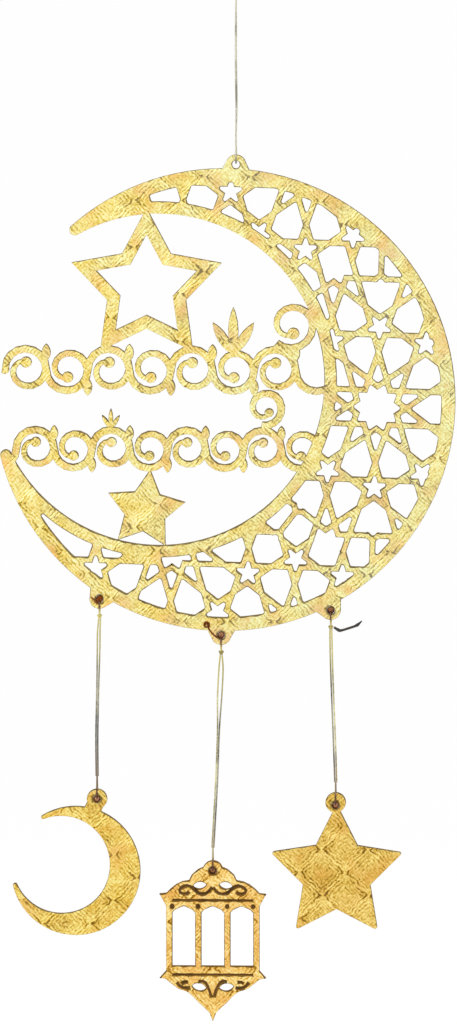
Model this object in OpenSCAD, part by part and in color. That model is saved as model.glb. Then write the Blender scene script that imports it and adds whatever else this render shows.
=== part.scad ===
// Hanging crescent ornament: a laser-cut, gold-foiled crescent panel with a star lattice,
// on a thread, with a moon, a lantern and a star charm below it.
// X runs to the right, Z up, and the front faces -Y. The origin is where the top loop hangs.

/* [Sheet] */
// Thickness of the wooden board
board_t = 2.1; // [1.6:0.1:2.8]
// Thickness of the foil on each face
foil_t = 0.2; // [0.1:0.05:0.3]

/* [Crescent] */
// Outer diameter of the crescent
crescent_d = 200; // [196:1:206]
// Diameter of the circle that makes the crescent's inside
inside_d = 143.3; // [141:0.2:146]
// How far the inside circle lies to the left
inside_left = 28.2; // [27:0.1:29]
// How far the inside circle lies up
inside_up = 8.7; // [7:0.05:9.5]
// Width of the outer rim
outer_rim_w = 6; // [5:0.1:7]
// Width of the inner rim
inner_rim_w = 5.3; // [4.5:0.1:6]
// Radius of the rounded horn tips
horn_tip_r = 2.4; // [1.8:0.1:2.8]
// Height from the crescent's centre to the hanging point
hang_height = 187; // [180:1:215]

/* [Lattice] */
// Edge length of the tiles that the star lattice is drawn on
tile_edge = 15.6; // [14:0.1:17]
// Width of the lattice straps
strap_w = 2.5; // [2:0.1:3]
// Radius in the corners of the lattice cells
cell_fillet_r = 0.7; // [0.4:0.1:1]
// Place of the main rosette to the right of the crescent's centre
rosette_right = 66.1; // [63:0.1:69]
// Place of the main rosette below the crescent's centre
rosette_down = 3.05; // [2:0.1:5]

/* [Lugs] */
// Outer radius of the thread lugs on the crescent
lug_r = 4.3; // [3.8:0.1:4.8]
// Radius of the thread holes in the lugs
lug_hole_r = 1.7; // [1.6:0.05:1.9]
// Distance of the lug holes outside the crescent's edge
lug_out = 1.8; // [1.2:0.1:2.4]

/* [Stars in the crescent] */
// Radius to the tips of the open star
open_star_r = 34.2; // [32:0.1:35]
// Width of the open star's arms
open_star_arm_w = 5.4; // [4.6:0.1:6]
// Radius to the tips of the solid star
solid_star_r = 17.7; // [16:0.1:18.5]

/* [Scroll bands] */
// Width of the vine stems
stem_w = 3.3; // [2.6:0.1:3.6]
// Radius of the upper band's loops
upper_loop_r = 9; // [8.6:0.1:9.2]
// Radius of the lower band's loops
lower_loop_r = 8.2; // [7.9:0.1:8.4]

/* [Charms] */
// Outer radius of the charms' hanging rings
ring_r = 4.4; // [4:0.1:4.8]
// Radius of the holes in the charms
ring_hole_r = 1.6; // [1.5:0.05:1.8]
// Outer radius of the moon charm
moon_r = 28; // [26:0.1:30]
// Radius of the circle that makes the moon charm's inside
moon_inside_r = 21.1; // [20:0.1:21.4]
// Radius to the tips of the star charm
star_r = 30.3; // [28:0.1:31]
// Width of the lantern's window frame
lantern_w = 40.4; // [38:0.2:42]
// Height of the lantern's windows
window_h = 25.8; // [23:0.1:28]

/* [Thread] */
// Thickness of the thread
thread_d = 0.7; // [0.6:0.05:0.8]
// Gap between the thread and the sheet that it hangs in
thread_gap = 0.35; // [0.3:0.05:0.4]
// Radius of the small knots
knot_r = 1; // [0.9:0.05:1.1]

/* [Hidden] */

// Faces on a full circle of the large outlines, of small round parts and of the fillets
rim_fn = 120;
small_fn = 24;
fillet_fn = 6;

panel_t = board_t + 2 * foil_t;
outer_r = crescent_d / 2;
inside_r = inside_d / 2;

// Directions of the lugs seen from the crescent's centre
lug_angles = [87.1, 238, 269.3, 297];
lug_ring_r = outer_r + lug_out;
function lug_at(i) = lug_ring_r * [cos(lug_angles[i]), sin(lug_angles[i])];

// The crescent's centre, seen from the hanging point
centre_x = -lug_at(0)[0];
centre_z = -hang_height;
function lug_world(i) = [centre_x, centre_z] + lug_at(i);

// A star of five points: outer and inner corners in turn, first corner at the top
function star_points(tip_r, notch_r) =
    [for (i = [0:9]) (i % 2 == 0 ? tip_r : notch_r) * [cos(90 + 36 * i), sin(90 + 36 * i)]];
star_notch_share = 0.525;

// Turns a flat XY outline up into XZ and gives it a thickness from y_low towards +Y
module upright(y_low, thickness) {
    translate([0, y_low + thickness, 0]) rotate([90, 0, 0]) linear_extrude(thickness) children();
}

// The three layers of a foiled sheet
module board_layer() {
    color([0.55, 0.36, 0.20]) upright(-board_t / 2, board_t) children();
}
module front_foil_layer() {
    color([0.91, 0.72, 0.30]) upright(-panel_t / 2, foil_t) children();
}
module back_foil_layer() {
    color([0.91, 0.72, 0.30]) upright(board_t / 2, foil_t) children();
}

// Part of a ring whose radius and width run from one value to another
curl_step_angle = 24;
module curl(at, r_from, r_to, a_from, a_to, w_from, w_to) {
    steps = ceil(abs(a_to - a_from) / curl_step_angle);
    outer = [for (i = [0:steps]) let (t = i / steps, a = a_from + (a_to - a_from) * t)
        at + (r_from + (r_to - r_from) * t + (w_from + (w_to - w_from) * t) / 2) * [cos(a), sin(a)]];
    inner = [for (i = [steps:-1:0]) let (t = i / steps, a = a_from + (a_to - a_from) * t)
        at + (r_from + (r_to - r_from) * t - (w_from + (w_to - w_from) * t) / 2) * [cos(a), sin(a)]];
    polygon(concat(outer, inner));
}

// A pointed leaf from the origin along +X
module leaf(length, width) {
    bow_r = (length * length + width * width) / (4 * width);
    intersection() {
        translate([length / 2, width / 2 - bow_r]) circle(bow_r, $fn = rim_fn / 3);
        translate([length / 2, bow_r - width / 2]) circle(bow_r, $fn = rim_fn / 3);
    }
}

// Star lattice, in tile edges from the middle of a rosette. The straps cross the tile edges
// at their middles, 18 degrees off square. phi is the golden ratio.
phi = (1 + sqrt(5)) / 2;
first_axis_angle = 16.2;
function polar(r, a) = r * [cos(a), sin(a)];
function to_frame(p, at, a) = at + p[0] * polar(1, a) + p[1] * polar(1, a + 90);
ten_edge_r = 1 / (2 * tan(18));
ten_kite_r = phi / 2;
ten_notch_r = 1 / (2 * tan(18)) - cos(18);
five_at_r = 1 / (2 * tan(18)) + 1 / (2 * tan(36));
five_tip_r = 1 / (2 * tan(36));
five_notch_r = five_tip_r / (phi * phi);
hexagon_at_share = 3.427;
rhombus_at_share = 3.078;
next_rosette_r = pow(phi, 4);

// A strap runs on past its two points, so that it fills the outer corner with the next one
strap_over = strap_w / 2 * tan(36);
module strap(p, q) {
    run = norm(q - p) * tile_edge;
    translate(p * tile_edge) rotate(atan2(q[1] - p[1], q[0] - p[0]))
        translate([-strap_over, -strap_w / 2]) square([run + 2 * strap_over, strap_w]);
}

// A ten-pointed rosette and the ring of ten five-pointed stars around it
module rosette(at) {
    for (k = [0:9]) let (a = first_axis_angle + 36 * k) {
        for (side = [-1, 1]) {
            strap(at + polar(ten_edge_r, a), at + polar(ten_kite_r, a + side * 18));
            strap(at + polar(ten_kite_r, a + side * 18), at + polar(ten_notch_r, a));
        }
        five = at + polar(five_at_r, a);
        for (j = [0:4], side = [-1, 1])
            strap(five + polar(five_tip_r, a + 180 + 72 * j),
                five + polar(five_notch_r, a + 180 + 72 * j + side * 36));
    }
}

// The long hexagon tile on each axis between two five-pointed stars
module hexagon_tile(at, a) {
    for (side = [-1, 1]) {
        low = to_frame([-0.6545, side * 0.4755], at, a);
        high = to_frame([0.6545, side * 0.4755], at, a);
        top = to_frame([0, side * 0.951], at, a);
        notch = to_frame([0.25, side * 0.1816], at, a);
        strap(low, high);
        strap(top, notch);
        strap(low, at);
        strap(at, notch);
    }
}

// The slim rhombus tile on each axis through a five-pointed star
module rhombus_tile(at, a) {
    near = to_frame([0.588, 0], at, a);
    far = to_frame([1.314, 0], at, a);
    strap(near, far);
    for (side = [-1, 1]) {
        strap(to_frame([0.4755, side * 0.1545], at, a), near);
        strap(far, to_frame([1.4265, side * 0.1545], at, a));
    }
}

module lattice_straps() {
    translate([rosette_right, -rosette_down]) {
        rosette([0, 0]);
        for (k = [0:9]) let (a = first_axis_angle + 36 * k, b = a + 18) {
            if (cos(b) < 0.2) rosette(polar(next_rosette_r, b));
            hexagon_tile(polar(hexagon_at_share, b), b);
            rhombus_tile(polar(rhombus_at_share, a), a);
        }
    }
}

// The crescent between its two circles, with round horn tips
module crescent_shape() {
    offset(r = horn_tip_r, $fn = small_fn) offset(delta = -horn_tip_r) difference() {
        circle(outer_r, $fn = rim_fn);
        translate([-inside_left, inside_up]) circle(inside_r, $fn = rim_fn);
    }
}

module lattice_field() {
    difference() {
        circle(outer_r - outer_rim_w, $fn = rim_fn);
        translate([-inside_left, inside_up]) circle(inside_r + inner_rim_w, $fn = rim_fn);
    }
}

module lattice_cells() {
    offset(r = cell_fillet_r, $fn = fillet_fn) offset(delta = -cell_fillet_r) difference() {
        lattice_field();
        lattice_straps();
    }
}

// A lug with a foot that flares into the rim: half its width at the rim and at the ring
foot_shares = [1.7, 0.94];
module lug(i) {
    translate(lug_at(i)) circle(lug_r, $fn = small_fn);
    rotate(lug_angles[i]) polygon([
        [outer_r - outer_rim_w / 2, -lug_r * foot_shares[0]],
        [outer_r - outer_rim_w / 2, lug_r * foot_shares[0]],
        [lug_ring_r + lug_r / 3, lug_r * foot_shares[1]],
        [lug_ring_r + lug_r / 3, -lug_r * foot_shares[1]]]);
}

// The open star, its top in the upper horn and its feet on the upper band
open_star_left = 33.5;
open_star_up = 48.6;
module open_star() {
    translate([-open_star_left, open_star_up]) difference() {
        polygon(star_points(open_star_r, open_star_r * star_notch_share));
        offset(delta = -open_star_arm_w)
            polygon(star_points(open_star_r, open_star_r * star_notch_share));
    }
}

// The solid star, standing in the inner rim with its top on the lower band
solid_star_left = 34;
solid_star_down = 47.8;
solid_star_lean = 6.7;
module solid_star() {
    translate([-solid_star_left, -solid_star_down]) rotate(-solid_star_lean)
        polygon(star_points(solid_star_r, solid_star_r * star_notch_share));
}

// A running vine: the stem goes over and under a row of loops, and a tendril with a berry
// curls into each. A leaf stands in each gap between two loops.
tendril_angle = 275;
tendril_end_share = 0.36;
tendril_w_share = 0.62;
berry_share = 0.27;
leaf_from_share = 0.4;
leaf_l_share = 0.85;
leaf_w_share = 0.42;
module vine(x_from, z_mid, loop_r, first, loops) {
    for (k = [first:loops]) {
        side = k % 2 == 0 ? 1 : -1;
        at = [x_from + loop_r * (2 * k + 1), z_mid];
        curl(at, loop_r, loop_r, 180, 180 - side * 180, stem_w, stem_w);
        if (k >= 0 && k < loops) {
            curl(at, loop_r, loop_r * tendril_end_share, 0, -side * tendril_angle,
                stem_w, stem_w * tendril_w_share);
            translate(at + loop_r * tendril_end_share * [cos(tendril_angle), -side * sin(tendril_angle)])
                circle(loop_r * berry_share, $fn = small_fn / 2);
            translate(at + [loop_r, side * loop_r * leaf_from_share]) rotate(side * 90)
                leaf(loop_r * leaf_l_share, loop_r * leaf_w_share);
        }
    }
}

upper_band_from = -95;
upper_band_up = 12.8;
upper_loop_count = 7;
lower_band_from = -90;
lower_band_down = 21.4;
lower_loop_count = 8;
// A taller curl rises from each band's end at the inner rim
tall_curl_r = 9.6;
tall_curl_at = [28.8, 32];
low_curl_r = 7.3;
low_curl_at = [17.5, -3.8];
end_curl_angles = [150, 420];
module end_curl(at, r, a_from) {
    a_mid = a_from + end_curl_angles[0];
    a_to = a_from + end_curl_angles[1];
    curl(at, r, r, a_from, a_mid, stem_w, stem_w);
    curl(at, r, r * tendril_end_share, a_mid, a_to, stem_w, stem_w * tendril_w_share);
    translate(at + r * tendril_end_share * [cos(a_to), sin(a_to)])
        circle(r * berry_share, $fn = small_fn / 2);
}
// Three leaves that stand on a band
module sprig(at, length) {
    for (turn = [-32, 0, 32]) translate(at) rotate(90 + turn)
        leaf(length * (turn == 0 ? 1 : 0.8), length * 0.21);
}
tall_sprig_l = 21;
small_sprig_l = 9;
module scroll_bands() {
    intersection() {
        union() {
            vine(upper_band_from, upper_band_up, upper_loop_r, 0, upper_loop_count);
            translate([upper_band_from, upper_band_up]) circle(d = stem_w * 1.2, $fn = small_fn);
            vine(lower_band_from, -lower_band_down, lower_loop_r, -1, lower_loop_count);
            end_curl(tall_curl_at, tall_curl_r, -130);
            end_curl(low_curl_at, low_curl_r, -100);
            sprig([upper_band_from + upper_loop_r * 11, upper_band_up + upper_loop_r * 0.72],
                tall_sprig_l);
            sprig([lower_band_from + lower_loop_r * 5, lower_loop_r * 1.05 - lower_band_down],
                small_sprig_l);
        }
        circle(outer_r - outer_rim_w / 2, $fn = rim_fn);
        union() {
            translate([-inside_left, inside_up])
                circle(inside_r + inner_rim_w / 2, $fn = rim_fn);
            translate([-outer_r, upper_band_up - 2 * upper_loop_r]) square([outer_r, 4 * upper_loop_r]);
        }
    }
}

// Cracks narrower than this, where leaves and stems only just miss each other, are closed
crack_w = 0.2;
module crescent_outline() {
    offset(delta = -crack_w / 2) offset(delta = crack_w / 2) {
        crescent_shape();
        for (i = [0:3]) lug(i);
        intersection() {
            union() {
                open_star();
                solid_star();
            }
            circle(outer_r - outer_rim_w / 2, $fn = rim_fn);
        }
        scroll_bands();
    }
}

module crescent_sheet() {
    difference() {
        crescent_outline();
        lattice_cells();
        for (i = [0:3]) translate(lug_at(i)) circle(lug_hole_r, $fn = small_fn);
    }
}
module crescent_board() {
    translate([centre_x, 0, centre_z]) board_layer() crescent_sheet();
}
module crescent_front_foil() {
    translate([centre_x, 0, centre_z]) front_foil_layer() crescent_sheet();
}
module crescent_back_foil() {
    translate([centre_x, 0, centre_z]) back_foil_layer() crescent_sheet();
}

// Places of the charms' ring holes, seen from the hanging point
moon_hole = [-60.2, -360];
lantern_hole = [-10, -390.8];
star_hole = [43.2, -362.2];

// Radius in the charms' inner corners
charm_fillet_r = 0.4;
module filleted() {
    offset(r = -charm_fillet_r, $fn = small_fn) offset(r = charm_fillet_r, $fn = small_fn) children();
}

// Moon charm, seen from its ring hole
moon_shares = [-0.33, -1.113];
moon_inside_shares = [-0.224, 0.093];
moon_tip_r = 0.9;
module moon_outline() {
    moon_at = moon_r * moon_shares;
    difference() {
        filleted() {
            translate(moon_at) offset(r = moon_tip_r, $fn = small_fn) offset(delta = -moon_tip_r)
                difference() {
                    circle(moon_r, $fn = rim_fn / 1.5);
                    translate(moon_r * moon_inside_shares) circle(moon_inside_r, $fn = rim_fn / 1.5);
                }
            circle(ring_r, $fn = small_fn);
            // neck between the ring and the moon's back
            polygon([[-ring_r * 0.8, 0], [ring_r * 0.75, -ring_r * 0.5],
                [ring_r * 0.2, -ring_r * 1.6], [-ring_r * 1.3, -ring_r * 0.9]]);
        }
        circle(ring_hole_r, $fn = small_fn);
    }
}
module moon_board() {
    translate([moon_hole[0], 0, moon_hole[1]]) board_layer() moon_outline();
}
module moon_front_foil() {
    translate([moon_hole[0], 0, moon_hole[1]]) front_foil_layer() moon_outline();
}
module moon_back_foil() {
    translate([moon_hole[0], 0, moon_hole[1]]) back_foil_layer() moon_outline();
}

// Star charm, seen from its ring hole
star_tip_r = 0.9;
star_right = 0.45;
star_drop_share = 0.98;
star_ring_up = 1.2;
star_slim_share = 0.507;
module star_outline() {
    difference() {
        filleted() {
            translate([star_right, -star_r * star_drop_share]) offset(r = star_tip_r, $fn = small_fn)
                offset(delta = -star_tip_r) polygon(star_points(star_r, star_r * star_slim_share));
            translate([0, star_ring_up]) circle(ring_r, $fn = small_fn);
        }
        circle(ring_hole_r, $fn = small_fn);
    }
}
module star_board() {
    translate([star_hole[0], 0, star_hole[1]]) board_layer() star_outline();
}
module star_front_foil() {
    translate([star_hole[0], 0, star_hole[1]]) front_foil_layer() star_outline();
}
module star_back_foil() {
    translate([star_hole[0], 0, star_hole[1]]) back_foil_layer() star_outline();
}

// Lantern charm, seen from its ring hole
eave_out = 2.9;
roof_drop = 10.1;
under_eave_drop = 15.5;
window_drop = 15.5;
arch_h = 2.1;
window_sill = 2.1;
column_w = 2.65;
base_h = 3.2;
tip_drop = 18.8;
dot_r = 0.8;
scroll_line_w = 0.8;
scroll_r_share = 0.0891;
scroll_r = lantern_w * scroll_r_share;
groove_w = 0.5;
body_drop = window_drop + window_h + window_sill;
window_w = (lantern_w - 4 * column_w) / 3;

// Right half of the outline from the ring down: x as shares of half the eaves, then z
dome_shares = [[0.13, 0.2], [0.28, 0.05], [0.395, -0.18], [0.445, -0.42]];
brow_shares = [[0.57, -0.47], [0.69, -0.6], [0.8, -0.8], [0.87, -0.97]];
base_shares = [[0.88, 0.03], [0.76, 0.15], [0.645, 0.255], [0.48, 0.32], [0.37, 0.43],
    [0.27, 0.565], [0.13, 0.72], [0.06, 0.81]];
module lantern_half() {
    half_eave = lantern_w / 2 + eave_out;
    polygon(concat([[0, roof_drop * 0.3]],
        [for (p = dome_shares) [p[0] * half_eave, p[1] * roof_drop]],
        [for (p = brow_shares) [p[0] * half_eave, p[1] * roof_drop]],
        [[half_eave, -roof_drop], [lantern_w / 2, -under_eave_drop],
            [lantern_w / 2, -body_drop], [half_eave, -body_drop - base_h]],
        [for (p = base_shares) [p[0] * half_eave, -body_drop - base_h - p[1] * tip_drop]],
        [[0, -body_drop - base_h - tip_drop]]));
}
module window() {
    translate([0, -body_drop + window_sill]) polygon([
        [-window_w / 2, 0], [window_w / 2, 0], [window_w / 2, window_h - arch_h * 1.4],
        [window_w * 0.38, window_h - arch_h * 0.75], [window_w * 0.1, window_h - arch_h * 0.15],
        [0, window_h], [-window_w * 0.1, window_h - arch_h * 0.15],
        [-window_w * 0.38, window_h - arch_h * 0.75], [-window_w / 2, window_h - arch_h * 1.4]]);
}
// Scroll work on one side of the charm: two leaf-shaped openings, and burnt lines that curl
// round them. Points are shares of scroll_r across, and of the roof's or base's drop downward.
roof_line_shares = [[0.1, -0.73], [0.42, -0.88], [0.8, -0.97], [1.22, -1], [1.65, -0.97],
    [2.02, -0.88], [2.36, -0.77], [2.7, -0.68], [3.05, -0.65], [3.42, -0.67], [3.8, -0.74],
    [4, -0.84], [3.92, -0.94], [3.5, -1], [3.1, -0.99], [2.9, -0.92]];
base_line_shares = [[2.8, -0.225], [3.07, -0.232], [3.6, -0.224], [4.03, -0.175], [4.3, -0.11]];
base_hook_shares = [[3.7, -0.12], [3.42, -0.09], [3.05, -0.09]];
base_stem_shares = [[1.66, -0.08], [1.22, -0.07], [0.86, -0.11], [0.61, -0.19], [0.39, -0.29],
    [0.2, -0.42]];
module line_along(points, w) {
    n = len(points);
    across = [for (i = [0:n - 1])
        let (run = points[min(i + 1, n - 1)] - points[max(i - 1, 0)])
        [-run[1], run[0]] / norm(run) * w / 2];
    polygon(concat([for (i = [0:n - 1]) points[i] + across[i]],
        [for (i = [n - 1:-1:0]) points[i] - across[i]]));
}
module scroll_openings() {
    translate([scroll_r * 0.78, -roof_drop * 0.6]) rotate(-7) leaf(scroll_r * 1.6, scroll_r * 0.8);
    translate([scroll_r * 0.8, -body_drop - base_h - tip_drop * 0.235]) rotate(9)
        leaf(scroll_r * 1.72, scroll_r * 0.88);
}
module scroll_lines() {
    line_along([for (p = roof_line_shares) [p[0] * scroll_r, p[1] * roof_drop]], scroll_line_w);
    for (line = [base_line_shares, base_hook_shares, base_stem_shares])
        line_along([for (p = line) [p[0] * scroll_r, p[1] * tip_drop - body_drop - base_h]],
            scroll_line_w);
}
module lantern_outline() {
    difference() {
        filleted() {
            lantern_half();
            mirror([1, 0]) lantern_half();
            circle(ring_r, $fn = small_fn);
        }
        circle(ring_hole_r, $fn = small_fn);
        for (i = [-1:1]) translate([i * (window_w + column_w), 0]) window();
        for (side = [0, 1]) mirror([side, 0]) scroll_openings();
    }
}
// The front foil is burnt through along the scrolls' lines, along two straight lines above and
// below the windows, and in four dots over the columns
module lantern_front_outline() {
    line_w = lantern_w * 0.86;
    difference() {
        lantern_outline();
        for (z = [-(roof_drop + under_eave_drop) / 2, -body_drop - base_h * 0.53])
            translate([-line_w / 2, z - groove_w / 2]) square([line_w, groove_w]);
        for (side = [0, 1]) mirror([side, 0]) {
            scroll_lines();
            for (x = [(window_w + column_w) / 2, lantern_w / 2 - column_w])
                translate([x, -under_eave_drop]) circle(dot_r, $fn = small_fn / 2);
        }
    }
}
module lantern_board() {
    translate([lantern_hole[0], 0, lantern_hole[1]]) board_layer() lantern_outline();
}
module lantern_front_foil() {
    translate([lantern_hole[0], 0, lantern_hole[1]]) front_foil_layer() lantern_front_outline();
}
module lantern_back_foil() {
    translate([lantern_hole[0], 0, lantern_hole[1]]) back_foil_layer() lantern_outline();
}

// Thread. A tube is swept along points; its rings are set out from the direction side.
thread_r = thread_d / 2;
thread_sides = 8;
function unit(v) = v / norm(v);
function heading(p, i) = unit(p[min(i + 1, len(p) - 1)] - p[max(i - 1, 0)]);
function ring_points(at, t, side) =
    let (u = unit(side - (side * t) * t), v = cross(t, u))
    [for (k = [0:thread_sides - 1]) let (a = 360 * (k + 0.5) / thread_sides)
        at + thread_r * (cos(a) * u + sin(a) * v)];
module tube(p, side) {
    n = len(p);
    rings = [for (i = [0:n - 1]) each ring_points(p[i], heading(p, i), side)];
    walls = [for (i = [0:n - 2], k = [0:thread_sides - 1])
        let (a = i * thread_sides + k, b = i * thread_sides + (k + 1) % thread_sides)
        each [[a, b, b + thread_sides], [a, b + thread_sides, a + thread_sides]]];
    low = [for (k = [1:thread_sides - 2]) [0, k + 1, k]];
    end = (n - 1) * thread_sides;
    high = [for (k = [1:thread_sides - 2]) [end, end + k, end + k + 1]];
    polyhedron(rings, concat(walls, low, high), convexity = 4);
}

// How far the thread's legs stand off the sheet's middle on each side of a lug
leg_y = panel_t / 2 + thread_gap + thread_r;
// The two strands lie side by side, this far apart
strand_gap = 0.08;
pair_half = thread_r + strand_gap / 2;
// Height of a turn's crown above or below the hole's centre
crown = 0.55;
// From a lug's hole to the knot's near end, and the knot's height
knot_drop = 6.6;
knot_h = 1.8;

// The thread's turn through a hole, as points from its front leg's end to its back leg's
// end. way is 1 where the legs go down from the hole and -1 where they go up.
function turn_points(at, way, leg_end) =
    let (top = at[1] - way * crown, arc_z = top - way * leg_y)
    concat(
        [[at[0], -pair_half, leg_end], [at[0], -leg_y, at[1] - way * (lug_r + thread_gap + thread_r)]],
        [for (i = [0:8]) let (a = 180 - 22.5 * i)
            [at[0], leg_y * cos(a), arc_z + way * leg_y * sin(a)]],
        [[at[0], leg_y, at[1] - way * (lug_r + thread_gap + thread_r)], [at[0], pair_half, leg_end]]);

// A knot with flat ends, its upper end at the given height
module knot(at) {
    translate([at[0], 0, at[1] - knot_h]) rotate_extrude($fn = small_fn) polygon([
        [0, 0], [knot_r * 0.8, 0], [knot_r, knot_h * 0.3], [knot_r, knot_h * 0.7],
        [knot_r * 0.8, knot_h], [0, knot_h]]);
}
thread_colour = [0.80, 0.72, 0.45];
tail_colour = [0.22, 0.20, 0.18];
knot_colour = [0.45, 0.27, 0.12];

// Heights of the top loop, its knot and the start of the hanging cord
loop_w = 7;
loop_drop = 10.8;
top_knot_z = -loop_drop - thread_gap;
cord_top_z = top_knot_z - knot_h - thread_gap;
module hanging_loop() {
    color(thread_colour) tube(concat(
        [[-pair_half, 0, -loop_drop], [-loop_w * 0.15, 0, -loop_drop * 0.85],
            [-loop_w * 0.38, 0, -loop_drop * 0.6]],
        [for (i = [0:8]) let (a = 180 - 22.5 * i)
            [loop_w / 2 * cos(a), 0, thread_r - loop_w / 2 + loop_w / 2 * sin(a)]],
        [[loop_w * 0.38, 0, -loop_drop * 0.6], [loop_w * 0.15, 0, -loop_drop * 0.85],
            [pair_half, 0, -loop_drop]]), [0, 1, 0]);
}
module top_knot() { color(knot_colour) knot([0, top_knot_z]); }

// Both strands of the hanging cord, down to the top lug and up again. Their legs close
// this far above the lug's hole.
hanging_leg_h = 12.6;
hanging_front = [[0.1, -0.4, -60], [-0.2, -0.4, -38]];
hanging_back = [[0.3, 0.4, -60], [0.1, 0.4, -38]];
module hanging_cord() {
    lug_turn = turn_points(lug_world(0), -1, lug_world(0)[1] + hanging_leg_h);
    color(thread_colour) tube(concat([[0, -pair_half, cord_top_z], hanging_front[1], hanging_front[0]],
        lug_turn, [hanging_back[0], hanging_back[1], [0, pair_half, cord_top_z]]), [1, 0, 0]);
}

// Turn through a lug, with the knot that closes it
module lug_loop(i) {
    at = lug_world(i);
    leg_end = at[1] - knot_drop + thread_gap;
    color(thread_colour) tube(turn_points(at, 1, leg_end), [1, 0, 0]);
}
module lug_knot(i) { color(knot_colour) knot(lug_world(i) - [0, knot_drop]); }
function cord_start(i) = lug_world(i)[1] - knot_drop - knot_h - thread_gap;
module moon_lug_loop() { lug_loop(1); }
module lantern_lug_loop() { lug_loop(2); }
module star_lug_loop() { lug_loop(3); }
module moon_knot() { lug_knot(1); }
module lantern_knot() { lug_knot(2); }
module star_knot() { lug_knot(3); }

// Turn through a charm's ring; its legs end together this far above the ring's hole
ring_loop_h = 9.5;
module ring_loop(at) { color(thread_colour) tube(turn_points(at, -1, at[1] + ring_loop_h), [1, 0, 0]); }
module moon_ring_loop() { ring_loop(moon_hole); }
module lantern_ring_loop() { ring_loop(lantern_hole); }
module star_ring_loop() { ring_loop(star_hole); }

// The free strands, each with its points between the knot and the charm's loop
moon_left = [[-60, 0, -288], [-60.1, 0, -296], [-60.3, 0, -312], [-60.7, 0, -332]];
moon_right = [[-58.9, 0, -288], [-59, 0, -296], [-59.5, 0, -312], [-59.9, 0, -332]];
lantern_left = [[-7.4, 0, -304], [-8, 0, -316], [-8, 0, -330], [-8.8, 0, -352]];
lantern_right = [[-5.6, 0, -304], [-6.2, 0, -316], [-7.2, 0, -330], [-8, 0, -352]];
star_cord_left = [[40.7, 0, -292], [41, 0, -304], [41.6, 0, -320], [42.3, 0, -338]];
star_cord_right = [[41.6, 0, -292], [41.9, 0, -304], [42.5, 0, -320], [43.2, 0, -338]];
module strands(i, left, right, hole) {
    end_z = hole[1] + ring_loop_h + thread_gap;
    color(thread_colour) {
        tube(concat([[lug_world(i)[0] - pair_half, 0, cord_start(i)]], left,
            [[hole[0] - pair_half, 0, end_z]]), [0, 1, 0]);
        tube(concat([[lug_world(i)[0] + pair_half, 0, cord_start(i)]], right,
            [[hole[0] + pair_half, 0, end_z]]), [0, 1, 0]);
    }
}
module moon_cord() { strands(1, moon_left, moon_right, moon_hole); }
module lantern_cord() { strands(2, lantern_left, lantern_right, lantern_hole); }
module star_cord() { strands(3, star_cord_left, star_cord_right, star_hole); }

// The dark cut end of the star's thread, which sticks out from its knot
tail_points = [[44.2, 0, -286.3], [45.4, 0, -286.6], [48.8, 0, -285.6], [52.3, 0, -284.3],
    [54.5, 0, -282.4]];
module star_cord_tail() {
    start = [lug_world(3)[0] + knot_r + thread_gap, 0, lug_world(3)[1] - knot_drop - knot_h / 2];
    color(tail_colour) tube(concat([start], tail_points), [0, 1, 0]);
}

hanging_loop();
top_knot();
hanging_cord();
crescent_board();
crescent_front_foil();
crescent_back_foil();
moon_lug_loop();
moon_knot();
moon_cord();
moon_ring_loop();
moon_board();
moon_front_foil();
moon_back_foil();
lantern_lug_loop();
lantern_knot();
lantern_cord();
lantern_ring_loop();
lantern_board();
lantern_front_foil();
lantern_back_foil();
star_lug_loop();
star_knot();
star_cord();
star_cord_tail();
star_ring_loop();
star_board();
star_front_foil();
star_back_foil();
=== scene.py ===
"""Dresses the hanging crescent ornament: threads, knots, foils and burnt board edges."""
import math

import bpy
import numpy as np
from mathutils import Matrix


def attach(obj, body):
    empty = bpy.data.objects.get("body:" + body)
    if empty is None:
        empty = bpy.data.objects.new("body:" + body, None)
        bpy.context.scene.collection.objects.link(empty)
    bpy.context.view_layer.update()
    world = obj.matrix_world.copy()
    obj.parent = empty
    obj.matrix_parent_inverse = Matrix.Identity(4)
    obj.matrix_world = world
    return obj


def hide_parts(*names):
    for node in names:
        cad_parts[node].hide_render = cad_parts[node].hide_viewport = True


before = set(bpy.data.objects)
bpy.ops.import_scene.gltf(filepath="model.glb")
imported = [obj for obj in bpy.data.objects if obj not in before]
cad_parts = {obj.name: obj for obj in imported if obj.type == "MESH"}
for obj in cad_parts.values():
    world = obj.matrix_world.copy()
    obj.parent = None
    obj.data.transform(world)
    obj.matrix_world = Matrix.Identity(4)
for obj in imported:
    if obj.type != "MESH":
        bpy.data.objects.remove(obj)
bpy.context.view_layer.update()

# Camera. It looks along +Y from a little above and from the right, from far away, so that
# the flat panel keeps its true outline. The picture's full height shows SEEN_H, in metres.
SEEN_H = 0.4422
CAMERA_AWAY = 7.5
CAMERA_ABOVE, CAMERA_RIGHT = 3.5, 4.0
LOOKED_AT = np.array([-0.00324, 0.0, -0.23555])
SENSOR_SIZE = 36
SIGHT_END = 60

above, right = math.radians(CAMERA_ABOVE), math.radians(CAMERA_RIGHT)
towards_camera = np.array([math.sin(right) * math.cos(above),
                           -math.cos(right) * math.cos(above), math.sin(above)])
camera_data = bpy.data.cameras.new("camera")
camera = bpy.data.objects.new("camera", camera_data)
bpy.context.scene.collection.objects.link(camera)
camera.location = LOOKED_AT + CAMERA_AWAY * towards_camera
camera.rotation_euler = (math.pi / 2 - above, 0, right)
camera_data.sensor_width = SENSOR_SIZE
camera_data.lens = SENSOR_SIZE * CAMERA_AWAY / SEEN_H
camera_data.clip_end = SIGHT_END
bpy.context.scene.camera = camera

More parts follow.
